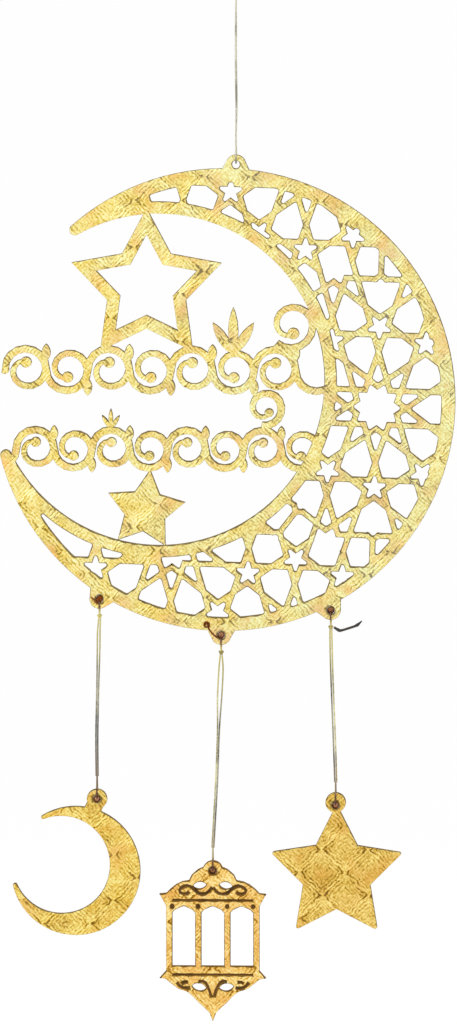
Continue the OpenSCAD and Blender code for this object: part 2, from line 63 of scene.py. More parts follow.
# Twine. All threads are fine nylon twine of three plies laid round each other, so a strand is
# a lobed section carried along its route. The filaments are half shiny, with painted shade in the
# furrows between the plies, and the twine is worn paler and darker in patches.
MM = 0.001
STRAND_D = 0.7 * MM
STRAND_R = STRAND_D / 2
STRAND_SIDES = 12
# How many plies there are, how far along they go once round, and how deep they cut in.
PLIES, PLY_PITCH, PLY_DEPTH = 3, 1.8 * MM, 0.1
FINE_STEP, CORD_STEP = 0.2 * MM, 0.4 * MM
# One filament is too fine to show, so small tufts of them are drawn instead.
FIBRE, WORN_PATCH = 0.625 * MM, 22.222 * MM
FURROW = 0.06 * MM
SPAN_STEPS = 24


def linear(code):
    """An sRGB hex colour as linear red, green, blue and alpha."""
    parts = [int(code[i:i + 2], 16) / 255 for i in (0, 2, 4)]
    return [c / 12.92 if c <= 0.04045 else ((c + 0.055) / 1.055) ** 2.4 for c in parts] + [1.0]


def node(tree, kind, sockets=None, out=0, **settings):
    """Adds a node, sets its inputs to values or to other nodes' outputs, and gives its output."""
    made = tree.nodes.new("ShaderNode" + kind)
    for name, value in settings.items():
        setattr(made, name, value)
    for name, value in (sockets or {}).items():
        if isinstance(value, bpy.types.NodeSocket):
            tree.links.new(value, made.inputs[name])
        else:
            made.inputs[name].default_value = value
    return made.outputs[out] if made.outputs else made


def new_material(name):
    """An empty material, and its node tree."""
    material = bpy.data.materials.new(name)
    material.use_nodes = True
    material.node_tree.nodes.clear()
    return material, material.node_tree


def in_mm(points):
    """Points that are given in millimetres, in metres."""
    return (np.array(points) * MM).tolist()


def smooth_route(points, step):
    """Catmull-Rom curve through the points: each span is the cubic whose end slopes are half
    the chords of the neighbours. It is then spaced evenly along its length."""
    p = np.array(points, float)
    p = np.vstack([2 * p[0] - p[1], p, 2 * p[-1] - p[-2]])
    t = np.linspace(0, 1, SPAN_STEPS, endpoint=False)[None, :, None]
    a, b, c, d = (p[i:len(p) - 3 + i, None] for i in range(4))
    curve = 0.5 * (2 * b + (c - a) * t + (2 * a - 5 * b + 4 * c - d) * t ** 2
                   + (3 * b - a - 3 * c + d) * t ** 3)
    curve = np.vstack([curve.reshape(-1, 3), p[-2]])
    run = run_along(curve)
    even = np.linspace(0, run[-1], max(2, int(round(run[-1] / step)) + 1))
    return np.column_stack([np.interp(even, run, curve[:, i]) for i in range(3)])


def run_along(line):
    """The distance along a line at each of its points, from 0 at its start."""
    return np.concatenate([[0], np.cumsum(np.linalg.norm(np.diff(line, axis=0), axis=1))])


def carried_frames(line):
    """Directions across a line: the first starts near X, or near Y where the line itself
    starts along X, and is turned along the line without twist. The second is square to it and
    to the line."""
    heading = np.gradient(line, axis=0)
    heading /= np.linalg.norm(heading, axis=1)[:, None]
    across = np.zeros_like(line)
    start = np.array([1.0, 0, 0]) if abs(heading[0][0]) < 0.8 else np.array([0, 1.0, 0])
    # Each direction follows from the one before it.
    for i, h in enumerate(heading):
        start = start - h * (start @ h)
        start = start / np.linalg.norm(start)
        across[i] = start
    return across, np.cross(heading, across)


def strand_mesh(line, radius, pitch=PLY_PITCH, closed=False):
    """Laid twine: at angle a and distance s along the line the section's radius is
    radius * (1 - depth + depth * |cos(plies / 2 * (a - turn of s / pitch))|), where radius is
    one value or one for each point. A closed strand joins its start, others have flat ends."""
    u, v = carried_frames(line)
    a = np.linspace(0, 2 * math.pi, STRAND_SIDES, endpoint=False)[None, :]
    lay = a - 2 * math.pi * run_along(line)[:, None] / pitch
    lobes = 1 - PLY_DEPTH + PLY_DEPTH * np.abs(np.cos(PLIES / 2 * lay))
    r = np.reshape(radius, (-1, 1)) * lobes
    rings = (line[:, None] + (r * np.cos(a))[..., None] * u[:, None]
             + (r * np.sin(a))[..., None] * v[:, None])
    n = len(line)
    i, k = np.meshgrid(np.arange(n if closed else n - 1), np.arange(STRAND_SIDES),
                       indexing="ij")
    here, there = i * STRAND_SIDES, (i + 1) % n * STRAND_SIDES
    beside = (k + 1) % STRAND_SIDES
    walls = np.stack([here + k, here + beside, there + beside, there + k], axis=-1)
    sides = np.arange(STRAND_SIDES)
    ends = [] if closed else [sides[::-1].tolist(), ((n - 1) * STRAND_SIDES + sides).tolist()]
    return rings.reshape(-1, 3), walls.reshape(-1, 4).tolist() + ends


def add_mesh(name, points, faces, material, body, smooth=True):
    """Makes a piece from its points and faces, and rides it on a body."""
    mesh = bpy.data.meshes.new(name)
    mesh.from_pydata(points.tolist(), [], faces)
    mesh.polygons.foreach_set("use_smooth", [smooth] * len(mesh.polygons))
    mesh.materials.append(material)
    piece = bpy.data.objects.new(name, mesh)
    bpy.context.scene.collection.objects.link(piece)
    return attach(piece, body)


def add_strand(name, route, step, material, body):
    """A strand that follows a route, and the line that it follows."""
    line = smooth_route(route, step)
    return add_mesh(name, *strand_mesh(line, STRAND_R), material, body), line


def stained(tree, place, holes, full, reach):
    """How strongly a place is stained round the holes, through the whole thickness: 1 up to a
    distance of full from a hole's axis, and falling to 0 at a distance of reach."""
    stain = 0.0
    for hole in holes:
        away = node(tree, "VectorMath", {0: place, 1: (hole[0], 0, hole[1])},
                    operation="SUBTRACT")
        away = node(tree, "VectorMath", {0: away, 1: (1, 0, 1)}, operation="MULTIPLY")
        away = node(tree, "VectorMath", {0: away}, operation="LENGTH", out="Value")
        near = node(tree, "MapRange", {"Value": away, "From Min": reach, "From Max": full})
        stain = node(tree, "Math", {0: stain, 1: near}, operation="MAXIMUM")
    return stain


def twine_material(name, pale, deep, gloss=0.6, stains=()):
    """Fine nylon twine: half-shiny filaments, with painted shade in the furrows between the
    plies.
    Each stain has the holes that it lies round, two distances as in stained, a colour and a
    strength."""
    material, tree = new_material(name)
    place = node(tree, "TexCoord", out="Object")
    fibre = node(tree, "TexNoise", {"Vector": place, "Scale": 1 / FIBRE, "Detail": 3.0})
    patch = node(tree, "TexNoise", {"Vector": place, "Scale": 1 / WORN_PATCH, "Detail": 3.0})
    # The fine noise paints shade into the furrows where the bump dips; the worn patches are the
    # twine's own paler and darker colour.
    both = node(tree, "Mix", {"Factor": 0.7, "A": fibre, "B": patch}, data_type="FLOAT")
    tint = node(tree, "ValToRGB", {"Fac": both})
    ramp = tint.node.color_ramp
    ramp.elements[0].position, ramp.elements[0].color = 0.42, linear(deep)
    ramp.elements[1].position, ramp.elements[1].color = 0.58, linear(pale)
    for holes, full, reach, colour, strength in stains:
        share = stained(tree, place, holes, full, reach)
        share = node(tree, "Math", {0: share, 1: strength}, operation="MULTIPLY")
        tint = node(tree, "Mix", {"Factor": share, 6: tint, 7: linear(colour)}, out=2,
                    data_type="RGBA")
    bump = node(tree, "Bump", {"Height": fibre, "Strength": 0.35, "Distance": FURROW})
    shine = node(tree, "BsdfPrincipled", {"Base Color": tint, "Roughness": 0.42, "Normal": bump,
                                          "Sheen Weight": 0.05, "Specular IOR Level": gloss})
    node(tree, "OutputMaterial", {"Surface": shine})
    return material


# Hanging cord. One strand of pale twine, the least worn, runs from the top knot down through
# the panel's top lug and back up. Above the knot, the thread's eye goes over a hook.
PANEL_T = 2.5 * MM
LUG_R = 4.3 * MM
THREAD_GAP = 0.35 * MM
LEG_Y = PANEL_T / 2 + THREAD_GAP + STRAND_R
PAIR_HALF = STRAND_R + 0.04 * MM
# How far from a hole's middle a strand's middle line passes, towards its legs.
CROWN = 0.55 * MM
LEAN_AT = 0.2
HALF_TURN = np.linspace(math.pi, 0, 9)
LUG_ANGLES = {"hanging": 87.1, "moon": 238, "lantern": 269.3, "star": 297}
LUG_RING_R = 101.8 * MM
HANG_HEIGHT = 187 * MM
KNOT_H = 1.8 * MM
TOP_KNOT_Z = -11.15 * MM
CORD_TOP_Z = TOP_KNOT_Z - KNOT_H - THREAD_GAP
# How far above the top lug's hole the two legs lie side by side again.
LEGS_MEET = 12.6 * MM


def lug_place(name):
    """Where a lug's hole is: on the lug circle round the crescent's centre, which itself lies
    so that the top lug hangs straight below the origin's height."""
    turn, top = math.radians(LUG_ANGLES[name]), math.radians(LUG_ANGLES["hanging"])
    centre = np.array([-LUG_RING_R * math.cos(top), -HANG_HEIGHT])
    return centre + LUG_RING_R * np.array([math.cos(turn), math.sin(turn)])


def turn_through(at, way, leg_end):
    """The route of a strand through a hole: up the front face, over the hole's edge in a half
    circle and down the back. way is 1 where its legs go down and -1 where they go up. Past the
    ring its legs lean together, and a point a fifth of the way along keeps them straight."""
    arc_z = at[1] - way * (CROWN + LEG_Y)
    past_ring = at[1] - way * (LUG_R + THREAD_GAP + STRAND_R)
    lean_y = LEG_Y * (1 - LEAN_AT) + PAIR_HALF * LEAN_AT
    lean_z = past_ring * (1 - LEAN_AT) + leg_end * LEAN_AT
    leg = [(PAIR_HALF, leg_end), (lean_y, lean_z), (LEG_Y, past_ring)]
    return ([[at[0], -y, z] for y, z in leg]
            + [[at[0], LEG_Y * math.cos(b), arc_z + way * LEG_Y * math.sin(b)]
               for b in HALF_TURN]
            + [[at[0], y, z] for y, z in leg[::-1]])


# Clean nylon looks almost white and catches a soft light, with painted grey shade between its
# plies.
pale_twine = twine_material("pale nylon twine", "e2e1c8", "83826a")
top_lug = lug_place("hanging")
hanging_route = ([[0, -PAIR_HALF, CORD_TOP_Z]] + in_mm([[-0.2, -0.4, -38], [0.1, -0.4, -60]])
                 + turn_through(top_lug, -1, top_lug[1] + LEGS_MEET)
                 + in_mm([[0.3, 0.4, -60], [0.1, 0.4, -38]]) + [[0, PAIR_HALF, CORD_TOP_Z]])
piece, line = add_strand("hanging_cord_strands", hanging_route, CORD_STEP, pale_twine,
                         "hanging_cord")
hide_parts("hanging_cord")

LOOP_W, LOOP_DROP = 7 * MM, 10.8 * MM
# Where the eye narrows towards the knot, as shares of its width and its drop.
LOOP_NECK_SHARES = ((0.15, 0.85), (0.38, 0.6))
loop_r = LOOP_W / 2
neck = [(PAIR_HALF, -LOOP_DROP)] + [(LOOP_W * w, -LOOP_DROP * d) for w, d in LOOP_NECK_SHARES]
loop_route = ([[-x, 0, z] for x, z in neck]
              + [[loop_r * math.cos(b), 0, STRAND_R - loop_r + loop_r * math.sin(b)]
                 for b in HALF_TURN]
              + [[x, 0, z] for x, z in neck[::-1]])
piece, line = add_strand("top_loop_strand", loop_route, FINE_STEP, pale_twine, "hanging_loop")
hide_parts("hanging_loop")

# The charms' threads: a turn through the lug, two strands side by side, and a turn through
# the charm's ring. The twine is yellow below the lugs, greyer in the middle, and brown from the
# burnt edges where it goes through a hole, and some strands are a darker copy in painted shade.
KNOT_DROP = 6.6 * MM
RING_LOOP_H = 9.5 * MM
JOINT_GAP = 0.06 * MM
# The middles of the charms' holes, in x and z.
HOLES = {"moon": (-60.2 * MM, -360 * MM), "lantern": (-10 * MM, -390.8 * MM),
         "star": (43.2 * MM, -362.2 * MM)}
# Where the left and the right strand of each pair pass, in millimetres.
CORD_ROUTES = {
    "moon": ([[-60, 0, -288], [-60.1, 0, -296], [-60.3, 0, -312], [-60.7, 0, -332]],
             [[-58.9, 0, -288], [-59, 0, -296], [-59.5, 0, -312], [-59.9, 0, -332]]),
    "lantern": ([[-7.4, 0, -304], [-8, 0, -316], [-8, 0, -330], [-8.8, 0, -352]],
                [[-5.6, 0, -304], [-6.2, 0, -316], [-7.2, 0, -330], [-8, 0, -352]]),
    "star": ([[40.7, 0, -292], [41, 0, -304], [41.6, 0, -320], [42.3, 0, -338]],
             [[41.6, 0, -292], [41.9, 0, -304], [42.5, 0, -320], [43.2, 0, -338]])}
charm_lugs, charm_rings = [lug_place(n) for n in HOLES], list(HOLES.values())
# Holes, full strength up to, gone at, colour and strength.
CHARM_STAINS = ((charm_lugs, 8 * MM, 34 * MM, "d6c862", 0.75),
                (charm_rings, 8 * MM, 24 * MM, "8a6a34", 0.6),
                (charm_lugs + charm_rings, 3.6 * MM, 5.4 * MM, "5a2c05", 1.0))
# Fresh twine is pale gold, with painted shade between its plies; the second twine is the same
# twine, darker, painted in shade.
gold_twine = twine_material("gold nylon twine", "e8e1ac", "7d7344", stains=CHARM_STAINS)
# Painted shade: the same gold twine, darker, for strands that are drawn as lying in shade.
shaded_gold_twine = twine_material("gold nylon twine in painted shade", "aea98c", "3c361f",
                            stains=CHARM_STAINS)
CORD_TWINES = {"moon": (shaded_gold_twine, shaded_gold_twine), "lantern": (gold_twine, shaded_gold_twine),
               "star": (shaded_gold_twine, gold_twine)}
for charm, hole in HOLES.items():
    lug, twines = lug_place(charm), CORD_TWINES[charm]
    start_z = lug[1] - KNOT_DROP - KNOT_H - THREAD_GAP
    end_z = hole[1] + RING_LOOP_H + THREAD_GAP
    for side, name, middle, twine in zip((-1, 1), ("left", "right"), CORD_ROUTES[charm],
                                         twines):
        route = ([[lug[0] + side * PAIR_HALF, 0, start_z]] + in_mm(middle)
                 + [[hole[0] + side * PAIR_HALF, 0, end_z]])
        piece, line = add_strand(f"{charm}_cord_{name}", route, CORD_STEP, twine,
                                 f"{charm}_cord")
        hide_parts(f"{charm}_cord")
    for name, route, body in (
            ("lug_loop", turn_through(lug, 1, lug[1] - KNOT_DROP - THREAD_GAP), "link"),
            ("ring_loop", turn_through(hole, -1, end_z - JOINT_GAP), "hook")):
        piece, line = add_strand(f"{charm}_{name}_strand", route, FINE_STEP, twines[0],
                                 f"{charm}_{body}")
        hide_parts(f"{charm}_{name}")

# Knots: overhand knots pulled tight, each one closed strand that crosses itself three times,
# with the ends of the pair below it. They stop short of the cord, which tilts below them.
KNOT_SCALE = 0.3 * MM
KNOT_STRAND_R, KNOT_PITCH = 0.36 * MM, 1.6 * MM
KNOT_STEPS, END_STEPS = 72, 8
TILT_GAP = 0.18 * MM


def overhand_line(at):
    """An overhand knot's line round a place, for t once round: x = sin t + 2 sin 2t,
    y = -1.2 sin 3t and z = 0.8 (cos t - 2 cos 2t), times the knot's scale."""
    t = np.linspace(0, 2 * math.pi, KNOT_STEPS, endpoint=False)
    return at + KNOT_SCALE * np.column_stack([
        np.sin(t) + 2 * np.sin(2 * t), -1.2 * np.sin(3 * t),
        0.8 * (np.cos(t) - 2 * np.cos(2 * t))])


# Waxed and drawn tight, the twine is a stronger yellow, with little shade in its furrows.
knot_twine = twine_material("waxed twine knot", "d8cc78", "9a8c48")
knot_tops = {"top": (0, TOP_KNOT_Z)}
knot_tops.update((charm, lug_place(charm) - (0, KNOT_DROP)) for charm in HOLES)
for name, (x, top_z) in knot_tops.items():
    body = "knot_link" if name == "top" else f"{name}_link"
    at = np.array([x, 0, top_z - KNOT_H / 2])
    turns = strand_mesh(overhand_line(at), KNOT_STRAND_R, pitch=KNOT_PITCH, closed=True)
    piece = add_mesh(f"{name}_knot_turns", *turns, knot_twine, body)
    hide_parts(f"{name}_knot")
    # The top knot's pair lies one behind the other, as the hanging cord does.
    apart = np.array([0, PAIR_HALF, 0] if name == "top" else [PAIR_HALF, 0, 0])
    low_end = at - [0, 0, KNOT_H / 2 + THREAD_GAP - TILT_GAP]
    for side, way in (("left", -1), ("right", 1)):
        line = np.linspace(at, low_end, END_STEPS) + way * apart
        piece = add_mesh(f"{name}_knot_{side}_end", *strand_mesh(line, STRAND_R), knot_twine,
                         body)

# The cut end of the star's thread. It is nylon, singed dark with a flame, thick where it
# melted near both ends, and drawn to a point. It leaves the knot's right side.
TAIL_START = 1.35 * MM
TAIL_ROUTE = [[44.2, 0, -286.3], [45.4, 0, -286.6], [48.8, 0, -285.6], [52.3, 0, -284.3],
              [54.5, 0, -282.4]]
# Its thickness in strands, and the places along it, as shares, where it ends and tapers.
TAIL_THICK, TAIL_END, TAIL_TAPER = 1.6, 1.1, 0.24
# Where it is lumpy, how far along that reaches, and how much thicker it is there.
TAIL_LUMPS = ((0.17, 0.08, 0.6), (0.8, 0.06, 0.5))

# Melted nylon looks nearly black and has lost half its shine.
singed_twine = twine_material("singed twine end", "453f36", "181410", 0.3)
tail_start = lug_place("star") + (TAIL_START, -KNOT_DROP - KNOT_H / 2)
line = smooth_route([[tail_start[0], 0, tail_start[1]]] + in_mm(TAIL_ROUTE), FINE_STEP)
share = np.linspace(0, 1, len(line))
lumps = sum(more * np.exp(-((share - at) / reach) ** 2) for at, reach, more in TAIL_LUMPS)
tail_r = STRAND_R * (TAIL_THICK + lumps) * np.clip((TAIL_END - share) / TAIL_TAPER, 0, 1)
piece = add_mesh("star_cord_tail_strand", *strand_mesh(line, tail_r), singed_twine, "star_link")
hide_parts("star_cord_tail")

# Brown thread ends, stained by the burnt board. They lie against the front of the lugs: a
# short one at the moon's lug, and one with a loose coil at the lantern's.
# How far off the board's face the ends lie.
END_GAP = 0.1 * MM
SHORT_END = [[-59.9, 0, -275.6], [-61, 0, -274.2], [-62.7, 0, -272.6]]
LONG_END = [[-8.1, 0, -289.8], [-9.5, 0, -288.7], [-10.7, 0, -287.4], [-11.6, 0, -286.2]]
# In millimetres: the coil winds inwards, a little taller than wide, and weaves forward.
COIL_MIDDLE = (-12.7, -284.4)
COIL_TALL, WEAVE, WEAVES = 1.15, 0.2, 2.3

# Soot from the cut board makes it a deep, dull brown.
brown_twine = twine_material("brown twine end", "86420a", "3a1700", 0.1)
coil_turn, coil_r = np.radians(-50 + 30 * np.arange(21)), np.linspace(1.4, 0.3, 21)
coil = np.column_stack([COIL_MIDDLE[0] + coil_r * np.cos(coil_turn),
                        -WEAVE * np.sin(WEAVES * coil_turn) ** 2,
                        COIL_MIDDLE[1] + COIL_TALL * coil_r * np.sin(coil_turn)])
for charm, route in (("moon", SHORT_END), ("lantern", np.vstack([LONG_END, coil]))):
    line = smooth_route(in_mm(route), FINE_STEP) - [0, PANEL_T / 2 + END_GAP + STRAND_R, 0]
    piece = add_mesh(f"{charm}_brown_end", *strand_mesh(line, STRAND_R), brown_twine,
                     f"{charm}_link")

# The holes of the charms and of their lugs are filled by more of the thread: a thick coil in
# the middle of the board, and a dark turn in front of its lower half.
# The radius that each coil or turn is wound on, how thick its strand is, and how far the
# turns lie in front of the board's middle.
COIL_R = {"lug": 0.82 * MM, "ring": 0.77 * MM}
COIL_STRAND_R = 0.8 * MM
TURN_R, TURN_STRAND_R, TURN_Y = 1.2 * MM, 0.34 * MM, -0.75 * MM
FULL_TURN, LOWER_TURN = np.radians(np.arange(0, 361, 10)), np.radians(np.arange(185, 356, 10))

# Rubbed against the hole's edge, it is a light brown with a faint shine.
tan_twine = twine_material("worn brown twine", "c99a78", "8f5c38", 0.2)
for charm, hole in HOLES.items():
    for name, at, body in (("lug", lug_place(charm), "link"), ("ring", hole, "hook")):
        coil_twine = brown_twine if (charm, name) == ("moon", "lug") else tan_twine
        for layer, a, r, strand_r, y, twine in (
                ("coil", FULL_TURN, COIL_R[name], COIL_STRAND_R, 0, coil_twine),
                ("turn", LOWER_TURN, TURN_R, TURN_STRAND_R, TURN_Y, brown_twine)):
            line = np.column_stack([at[0] + r * np.cos(a), y + 0 * a, at[1] + r * np.sin(a)])
            piece = add_mesh(f"{charm}_{name}_{layer}", *strand_mesh(line, strand_r), twine,
                             f"{charm}_{body}")

# Board. Medium-density fibre board, cut by laser: its edges are charred brown, with fine
# upright marks where the beam passed.
# How coarse the beam's marks and the patches of char are, and how deep the char is.
BEAM_MARK, CHAR_PATCH = 0.3125 * MM, 9.091 * MM
MARKS_ALONG = (1, 0.04, 1)
CHAR_DEPTH = 0.1 * MM


def board_material(name, deep, pale):
    """Charred fibre board: dull, brown in patches, with marks that run through the board's
    thickness. The noise that makes them is drawn out along Y."""
    material, tree = new_material(name)
    place = node(tree, "TexCoord", out="Object")
    along = node(tree, "VectorMath", {0: place, 1: MARKS_ALONG}, operation="MULTIPLY")
    marks = node(tree, "TexNoise", {"Vector": along, "Scale": 1 / BEAM_MARK, "Detail": 2.0})
    patch = node(tree, "TexNoise", {"Vector": place, "Scale": 1 / CHAR_PATCH, "Detail": 3.0})
    both = node(tree, "Mix", {"Factor": 0.5, "A": marks, "B": patch}, data_type="FLOAT")
    tint = node(tree, "ValToRGB", {"Fac": both})
    ramp = tint.node.color_ramp
    ramp.elements[0].position, ramp.elements[0].color = 0.36, linear(deep)
    ramp.elements[1].position, ramp.elements[1].color = 0.66, linear(pale)
    bump = node(tree, "Bump", {"Height": marks, "Strength": 0.4, "Distance": CHAR_DEPTH})
    shine = node(tree, "BsdfPrincipled", {"Base Color": tint, "Roughness": 0.75, "Normal": bump,
                                          "Specular IOR Level": 0.15})
    node(tree, "OutputMaterial", {"Surface": shine})
    return material


# Charred fibre is dark brown and takes no shine.
burnt_board = board_material("laser-cut fibre board", "241407", "75522a")

# Foil. A metallised gold film is hot-pressed on both faces of the board and embossed with
# upright diamonds, each with smaller ones in it. It mirrors softly, with its rings painted as
# light and dark stripes, a painted glint above and below the diamonds' corners, and painted
# shade, hatched dark, beside them.
# A diamond from corner to corner, the spacing of its rings, and how deep they are pressed.
DIAMOND, EMBOSS_RING, EMBOSS_DEPTH = 20.2 * MM, 1.9 * MM, 0.1 * MM
# Where a corner of the diamonds lies on each sheet.
EMBOSS_CORNERS = {"crescent": (-44 * MM, -101 * MM), "moon": (-53 * MM, -384 * MM),
                  "lantern": (-10 * MM, -413 * MM), "star": (47.46 * MM, -391.3 * MM)}
# The size of the waves that bend the embossing, and their reach from side to side.
WAVE, WAVE_REACH = 3.3333 * MM, 2.8 * MM
# How coarse the film's creases are, and its patches of tarnish, of warmer tone and of painted
# cooler reflection.
CRINKLE = 0.9 * MM
TARNISH_PATCH, BLUSH_PATCH, COOL_REFLECTION_PATCH = 10.526 * MM, 11.765 * MM, 13.333 * MM
# Painted glint, film, its painted shade, its depth in painted shade (the tarnish reaches both
# too), the blush of its warmer patches, and the burnt film.
FOIL_COLOURS = {
    "crescent": ("fff8bc", "f5db74", "d5b64e", "8c752e", "f0ae56", "54390f"),
    "moon": ("fff09a", "ecc654", "c69c32", "7e5b0e", "eaa846", "4c2f0c"),
    "lantern": ("fff0ac", "f4c768", "d2a042", "8a5e13", "eca650", "4c2f0c"),
    "star": ("ffe690", "e1bb54", "bb9132", "70500c", "df9e40", "4c2f0c")}
# A painted reflection of a cooler light lies on the film in patches, more of it towards the
# right.
# The charms hang turned a little away from that light. It dims the film's colour and then adds to
# it.
COOL_FROM, COOL_TO = -60 * MM, 100 * MM
COOL_REFLECTION_SHARES = {"crescent": 1.0, "moon": 0.4, "lantern": 0.0, "star": 0.1}
COOL_REFLECTION_TINT, COOL_LIGHT = "f3fff4", (0.0, 0.03, 0.135, 1.0)
BURNT_FULL_R, BURNT_R = 1.7 * MM, 2.7 * MM


def foil_material(name, colours, corner_at, burnt_holes, cool_reflection_share):
    """Embossed gold foil. With u = x + z and v = x - z, each wrapped to one diamond's size h,
    the larger of |u| and |v| is the distance from a diamond's middle, which makes its rings,
    and 4 u v / h^2 is 1 at its left and right corners and -1 at its upper and lower ones."""
    pale, gold, shade, deep, warm, burnt = (linear(c) for c in colours)
    half = DIAMOND / 2
    material, tree = new_material(name)
    place = node(tree, "TexCoord", out="Object")

    # The embossing, a little bent.
    wave = node(tree, "TexNoise", {"Vector": place, "Scale": 1 / WAVE, "Detail": 2.0},
                out="Color")
    wave = node(tree, "VectorMath", {0: wave, 1: (0.5, 0.5, 0.5)}, operation="SUBTRACT")
    wave = node(tree, "VectorMath", {0: wave, "Scale": WAVE_REACH}, operation="SCALE")
    bent = node(tree, "VectorMath", {0: place, 1: wave}, operation="ADD")
    shifted = node(tree, "VectorMath", {0: bent, 1: (corner_at[0] - half, 0, corner_at[1])},
                   operation="SUBTRACT")
    x = node(tree, "SeparateXYZ", {0: shifted}, out="X")
    z = x.node.outputs["Z"]
    u, v = (node(tree, "Math", {0: x, 1: z}, operation=way) for way in ("ADD", "SUBTRACT"))
    u, v = (node(tree, "Math", {0: c, 1: half, 2: -half}, operation="WRAP") for c in (u, v))
    far_u, far_v = (node(tree, "Math", {0: c}, operation="ABSOLUTE") for c in (u, v))
    out = node(tree, "Math", {0: far_u, 1: far_v}, operation="MAXIMUM")
    corner = node(tree, "Math", {0: u, 1: v}, operation="MULTIPLY")
    # Painted shade beside the left and right corners, and a painted glint above and below them.
    beside, above = (
        node(tree, "MapRange", {"Value": corner, "From Min": low * half ** 2,
                                "From Max": high * half ** 2}, interpolation_type="SMOOTHSTEP")
        for low, high in ((0.1, 0.95), (-0.2, -0.8)))
    # The rings, painted as light and dark stripes of the embossing: stronger towards a diamond's
    # edge, and calmer where the painted glint lies.
    rings = node(tree, "Math", {0: out, 1: 2 * math.pi / EMBOSS_RING}, operation="MULTIPLY")
    rings = node(tree, "Math", {0: rings}, operation="SINE")
    depth = node(tree, "MapRange", {"Value": out, "From Min": 0.45 * half, "From Max": half,
                                    "To Min": 0.4, "To Max": 1.0})
    calm = node(tree, "Math", {0: above, 1: -0.8, 2: 1.0}, operation="MULTIPLY_ADD")
    for share in (depth, calm):
        rings = node(tree, "Math", {0: rings, 1: share}, operation="MULTIPLY")

    # Its tones, from the painted shade in the embossing's depth to the painted glint. The rings
    # and the darkening beside and brightening above the corners are painted light and shade; the
    # creases and the tarnish vary the tone at random.
    crinkle = node(tree, "TexNoise", {"Vector": place, "Scale": 1 / CRINKLE, "Detail": 3.0,
                                      "Roughness": 0.7})
    tarnish = node(tree, "TexNoise", {"Vector": place, "Scale": 1 / TARNISH_PATCH,
                                      "Detail": 3.0})
    tone = -0.63
    for layer, weight in ((rings, 0.28), (beside, -0.34), (above, 0.1), (crinkle, 1.7),
                          (tarnish, 0.7)):
        tone = node(tree, "Math", {0: layer, 1: weight, 2: tone}, operation="MULTIPLY_ADD")
    tint = node(tree, "ValToRGB", {"Fac": tone})
    ramp = tint.node.color_ramp
    ramp.elements[0].position, ramp.elements[0].color = 0.05, deep
    ramp.elements[1].position, ramp.elements[1].color = 0.95, pale
    ramp.elements.new(0.3).color = shade
    ramp.elements.new(0.55).color = gold

    # Warmer patches, the painted cooler reflection, and the film burnt round the holes.
    blush = node(tree, "TexNoise", {"Vector": place, "Scale": 1 / BLUSH_PATCH, "Detail": 3.0,
                                    "W": 3.0}, noise_dimensions="4D")
    blush = node(tree, "MapRange", {"Value": blush, "From Min": 0.5, "From Max": 0.7,
                                    "To Max": 0.7})
    cool_reflection = node(tree, "TexNoise", {"Vector": place, "Scale": 1 / COOL_REFLECTION_PATCH, "Detail": 2.0,
                                   "W": 8.0}, noise_dimensions="4D")
    cool_reflection = node(tree, "MapRange", {"Value": cool_reflection, "From Min": 0.4, "From Max": 0.6})
    across = node(tree, "SeparateXYZ", {0: place}, out="X")
    across = node(tree, "MapRange", {"Value": across, "From Min": COOL_FROM,
                                     "From Max": COOL_TO, "To Max": 0.6})
    cool_reflection = node(tree, "Math", {0: cool_reflection, 1: 0.5, 2: across}, operation="MULTIPLY_ADD",
                use_clamp=True)
    cool_reflection = node(tree, "Math", {0: cool_reflection, 1: cool_reflection_share}, operation="MULTIPLY")
    burn = stained(tree, bent, burnt_holes, BURNT_FULL_R, BURNT_R)
    burn = node(tree, "Math", {0: burn, 1: 0.8}, operation="MULTIPLY")
    for share, colour, blend in (
            (blush, warm, "DARKEN"), (cool_reflection, linear(COOL_REFLECTION_TINT), "MULTIPLY"),
            (cool_reflection, COOL_LIGHT, "ADD"), (burn, burnt, "MIX")):
        tint = node(tree, "Mix", {"Factor": share, 6: tint, 7: colour}, out=2,
                    data_type="RGBA", blend_type=blend)

    height = node(tree, "Math", {0: crinkle, 1: 0.9, 2: rings}, operation="MULTIPLY_ADD")
    bump = node(tree, "Bump", {"Height": height, "Strength": 0.4, "Distance": EMBOSS_DEPTH})
    dull = node(tree, "MapRange", {"Value": burn, "To Min": 0.34, "To Max": 0.7})
    shine = node(tree, "BsdfPrincipled", {"Base Color": tint, "Metallic": 1.0,
                                          "Roughness": dull, "Normal": bump})
    node(tree, "OutputMaterial", {"Surface": shine})
    return material


for part, colours in FOIL_COLOURS.items():
    foil = foil_material(f"embossed gold foil {part}", colours, EMBOSS_CORNERS[part],
                         charm_lugs if part == "crescent" else [HOLES[part]],
                         COOL_REFLECTION_SHARES[part])
    for layer, material in (("board", burnt_board), ("front_foil", foil), ("back_foil", foil)):
        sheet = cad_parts[f"{part}_{layer}"]
        sheet.data.materials.clear()
        sheet.data.materials.append(material)

